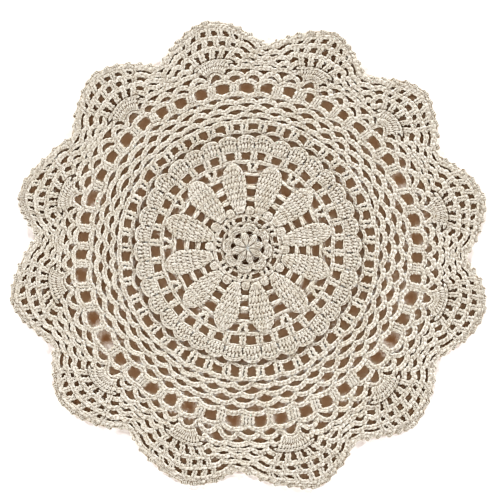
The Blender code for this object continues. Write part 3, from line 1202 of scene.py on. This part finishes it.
fans = Piece("fans")
last_rows = []
for sector in range(COUNT):
    axis = float(sector)
    fan(fans, axis)
    row, line_below = low_top, fan_edge
    for this in (*SIDE_ROUNDS, *COLUMN_ROUNDS):

        def line(turn, this=this):
            return scallop(turn, this.tip, this.valley)

        if this.columns:
            columns(fans, axis, this, line, line_below)
            line_below = line
        row = row_between(loops, sector, this, line, row)
    last_rows.append(row)
fans.work(seed=5)
loops_piece = loops.work(seed=6)

# %% [markdown]
# ## The edging
#
# The last rounds are dense. On the scallops, posts stand close together under a thick outer braid, and in the
# valleys three short stitches tie that braid down. Outside it lies a row of picots, twelve to a scallop, with
# a low braid between them. They are the small bumps of the outline. A toothed ribbon could give the outline
# too, but not the shade between one bead and the next.

# %% Work the edging
PICOTS = 12  # on each scallop
PICOT_LENGTH = 3.0
EDGE_BRAID, VALLEY_BRAID = 3.0, 1.5  # the outer braid in from the edge, at the tips and in the valleys
EDGE_GIRTH = 1.3
EDGE_POST_SPACING = 2.4
BRAID_HEIGHT = 1.25
RIM_HEIGHT = 1.04
RIM_BACK = 1.5  # the low braid between the beads, in from the edge
SCALLOP_LENGTH = 84.0
DENSE_EDGE = 0.3  # share of a sector to each side of a tip
LOOSE_POSTS = (0.385, 0.5, 0.615)

edging = Piece("edging")


def edge_radius(turn):
    return scallop(turn, TIP_RADIUS, VALLEY_RADIUS)


def last_line(turn):
    """The round that the edging is worked on."""
    last = COLUMN_ROUNDS[-1]
    if last.side < turn % 1 < 1 - last.side:
        return last_rows[math.floor(turn) % COUNT](turn % COUNT)
    return scallop(turn, last.tip, last.valley)


def braid_line(turn):
    back = mix(EDGE_BRAID, VALLEY_BRAID, smooth(abs(turn - round(turn)), 0.3, 0.45))
    return edge_radius(turn) - back


def rim_line(turn):
    return edge_radius(turn) - RIM_BACK


run(edging, 0.0, float(COUNT), braid_line, BRAID_HEIGHT, closed=True, girth=EDGE_GIRTH)
run(edging, 0.0, float(COUNT), rim_line, RIM_HEIGHT, closed=True, girth=0.8)
edge_posts = round(COUNT * SCALLOP_LENGTH / EDGE_POST_SPACING)
for number in range(edge_posts):
    turn = number * COUNT / edge_posts
    if abs(turn - round(turn)) < DENSE_EDGE:
        post(edging, turn + jitter(0.004), last_line(turn) + 0.4, turn, braid_line(turn), 1.1, BRAID_HEIGHT)
for sector in range(COUNT):
    for off in LOOSE_POSTS:
        turn = sector + off + jitter(0.01)
        post(edging, turn, last_line(turn), turn, braid_line(turn), 1.0, BRAID_HEIGHT, "short")
for number in range(PICOTS * COUNT):
    turn = number / PICOTS + jitter(0.01)
    foot = place(turn, edge_radius(turn) - PICOT_LENGTH, RIM_HEIGHT)
    tip = place(turn, edge_radius(turn), RIM_HEIGHT)
    edging.stitch("picot", foot, tip, 1.0 + jitter(0.12))
edging.work(seed=7)

# %% [markdown]
# ## Floor and light
#
# The mat lies on a plain white table, matt as paper, which gives the eye a clean ground without a highlight.
# One large lamp overhead would be the usual soft light, but it fills every hole. A ring of low soft lamps
# leaves the holes of the net in shade, while the yarn and the open table stay bright, and a little warm
# light from all round keeps the shade brown, as cotton makes it.

# %% Set the stage
FLOOR_SIDE = 20.0  # metres, so that a side view sees no edge
FLOOR_COLOUR = "#FBF9F5"
half = FLOOR_SIDE / 2
corners = [(-half, -half, 0), (half, -half, 0), (half, half, 0), (-half, half, 0)]
floor_mesh = bpy.data.meshes.new("table_top")
floor_mesh.from_pydata(corners, [], [(0, 1, 2, 3)])
floor = bpy.data.objects.new("table_top", floor_mesh)
bpy.context.scene.collection.objects.link(floor)
paper = bpy.data.materials.new("matt_white_paper")
paper.use_nodes = True
paper_shader = paper.node_tree.nodes["Principled BSDF"]
paper_shader.inputs["Base Color"].default_value = linear(FLOOR_COLOUR)
paper_shader.inputs["Roughness"].default_value = 0.95
paper_shader.inputs["Specular IOR Level"].default_value = 0.0
floor.data.materials.append(paper)

LAMPS = 7
LAMP_ELEVATION = 15.0
LAMP_SOFTNESS = 6.0
LAMP_COLOUR = "#E9F3FC"
RING_LIGHT = 14.4  # all lamps together
KEY_SHARE = 0.22  # how much more comes from the top than from the bottom
ROUND_COLOUR = "#FFAE5C"
ROUND_LIGHT = 0.14
for number in range(LAMPS):
    azimuth = 90 + 360 / LAMPS * number
    sun = bpy.data.lights.new(f"low_lamp_{number}", "SUN")
    sun.energy = RING_LIGHT / LAMPS * (1 + KEY_SHARE * math.cos(math.radians(azimuth - 90)))
    sun.angle = math.radians(LAMP_SOFTNESS)
    sun.color = linear(LAMP_COLOUR)[:3]
    lamp = bpy.data.objects.new(sun.name, sun)
    lamp.rotation_euler = (math.radians(90 - LAMP_ELEVATION), 0, math.radians(azimuth + 90))
    bpy.context.scene.collection.objects.link(lamp)
world = bpy.data.worlds.new("studio")
world.use_nodes = True
world.node_tree.nodes["Background"].inputs["Color"].default_value = linear(ROUND_COLOUR)
world.node_tree.nodes["Background"].inputs["Strength"].default_value = ROUND_LIGHT
bpy.context.scene.world = world
bpy.context.scene.view_settings.view_transform = "Standard"
bpy.context.scene.view_settings.look = "Very High Contrast"
print(LAMPS, "low lamps over a table of", FLOOR_SIDE, "m")

# %% [markdown]
# ## The camera
#
# The camera looks straight down. It stands far off with a long lens, so that the edge of the mat is seen
# from above as its middle is, and its height follows from the width of table that it has to show.

# %% Place the camera
VIEW_WIDTH = 318.25  # millimetres of table across the picture
VIEW_CENTRE = (1.6, -1.27)
LENS = 100.0
SENSOR = 36.0
camera_data = bpy.data.cameras.new("camera")
camera_data.lens = LENS
camera_data.sensor_width = SENSOR
camera = bpy.data.objects.new("camera", camera_data)
distance = VIEW_WIDTH * LENS / SENSOR
camera.location = Vector((*VIEW_CENTRE, distance)) * MM
bpy.context.scene.collection.objects.link(camera)
bpy.context.scene.camera = camera
print("the camera stands", round(distance), "mm above the table")

# %% [markdown]
# ## The pieces on their body
#
# All the pieces ride on the one body and share the one thread material, since the mat is worked in one go
# from one thread. It is a sheet of cloth that lies flat. The stitch models have done their work and are
# removed.

for piece in PIECES:
    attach(piece, "root")
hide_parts("doily")
bpy.data.objects.remove(link)
for shape in list(shapes.objects):
    bpy.data.objects.remove(shape)
bpy.data.collections.remove(shapes)
print("pieces:", ", ".join(piece.name for piece in PIECES))
